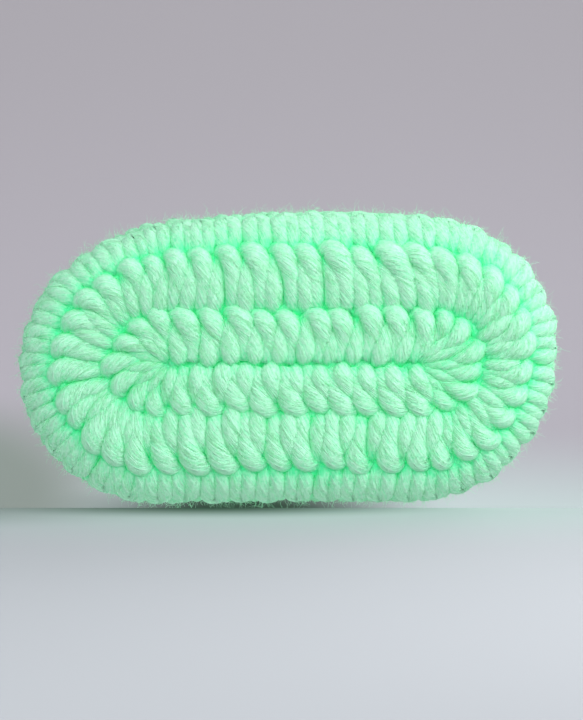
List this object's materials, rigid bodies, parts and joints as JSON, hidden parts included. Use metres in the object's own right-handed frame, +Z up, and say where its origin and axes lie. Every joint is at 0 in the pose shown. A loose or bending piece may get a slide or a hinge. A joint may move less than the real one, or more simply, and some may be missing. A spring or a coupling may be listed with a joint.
{
  "type": "baby bootie",
  "caption": "Soft crocheted baby bootie: an oval sole worked in rounds, a wall that closes over the toe, and an ankle cuff with a scalloped edge",
  "frame": {"origin": "on the ground, under the middle of the sole", "axes": "+Z up, the toe points along -Y and the heel along +Y, X is across the foot"},
  "size_m": [0.054, 0.1, 0.0665],
  "materials": {
    "yarn": "soft, brushed mint acrylic yarn"
  },
  "bodies": {
    "root": {"foundation_chain": "yarn", "sole_round_1": "yarn", "sole_round_2": "yarn", "sole_edge_round": "yarn", "wall_round_1": "yarn", "wall_round_2": "yarn", "toe_round_1": "yarn", "toe_round_2": "yarn", "toe_round_3": "yarn", "ankle_round_1": "yarn", "ankle_round_2": "yarn", "cuff_round_1": "yarn", "cuff_round_2": "yarn", "cuff_edging": "yarn"}
  },
  "joints": []
}
